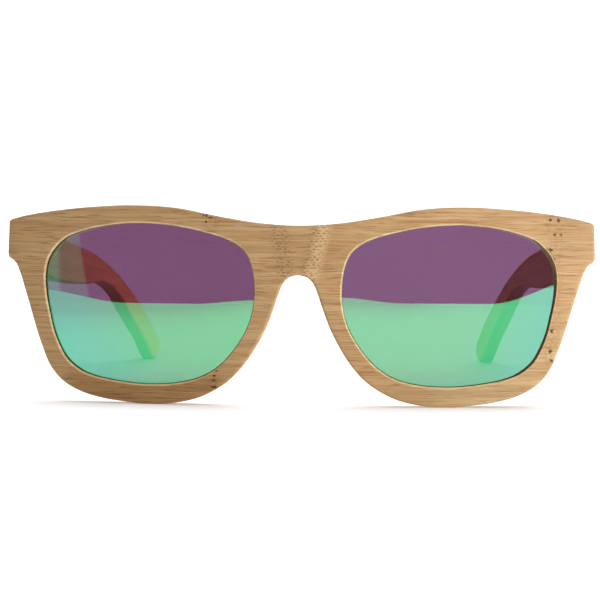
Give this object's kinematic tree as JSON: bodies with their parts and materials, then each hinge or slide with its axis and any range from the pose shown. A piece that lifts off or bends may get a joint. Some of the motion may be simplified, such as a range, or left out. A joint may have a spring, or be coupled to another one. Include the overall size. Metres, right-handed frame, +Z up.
{
  "type": "sunglasses",
  "caption": "Bamboo sunglasses with a bowed one-piece front, mirrored curved lenses in grooved rims and curved temples that fold on sprung metal hinges.",
  "frame": {"origin": "centre of the footprint on the table it stands on, with the temples open", "axes": "+Z up, the front faces -Y, the temples run to +Y, +X is the wearer's left and the right of the front as it is looked at"},
  "size_m": [0.145, 0.15, 0.0487],
  "materials": {
    "bamboo": "fine-sanded, oiled",
    "lens": "mirror coated",
    "steel": "satin",
    "brass": "satin"
  },
  "bodies": {
    "front": {"front_frame": "bamboo", "lens_right": "lens", "lens_left": "lens", "hinge_leaf_right": "steel", "leaf_screws_right": "steel", "hinge_screw_right": "steel", "hinge_leaf_left": "steel", "leaf_screws_left": "steel", "hinge_screw_left": "steel"},
    "slider_right": {"spring_slider_right": "steel", "slider_nut_right": "brass"},
    "temple_right": {"temple_right": "bamboo", "spring_housing_right": "steel", "housing_screws_right": "steel", "coil_spring_right": "steel"},
    "slider_left": {"spring_slider_left": "steel", "slider_nut_left": "brass"},
    "temple_left": {"temple_left": "bamboo", "spring_housing_left": "steel", "housing_screws_left": "steel", "coil_spring_left": "steel"}
  },
  "joints": [
    {"name": "temple_fold_right", "type": "hinge", "parent": "front", "child": "slider_right", "pos_m": [0.067, -0.0598, 0.0406], "axis": [0, 0, 1], "range_deg": [0, 85]},
    {"name": "spring_travel_right", "type": "slide", "parent": "slider_right", "child": "temple_right", "axis": [-0.0519, 0.9899, -0.1323], "range_m": [0, 0.0012], "stiffness_N_per_m": 2000, "springref_m": -0.0005, "deforming": ["coil_spring_right"]},
    {"name": "temple_fold_left", "type": "hinge", "parent": "front", "child": "slider_left", "pos_m": [-0.067, -0.0598, 0.0406], "axis": [0, 0, -1], "range_deg": [0, 79]},
    {"name": "spring_travel_left", "type": "slide", "parent": "slider_left", "child": "temple_left", "axis": [0.0519, 0.9899, -0.1323], "range_m": [0, 0.0012], "stiffness_N_per_m": 2000, "springref_m": -0.0005, "deforming": ["coil_spring_left"]}
  ]
}
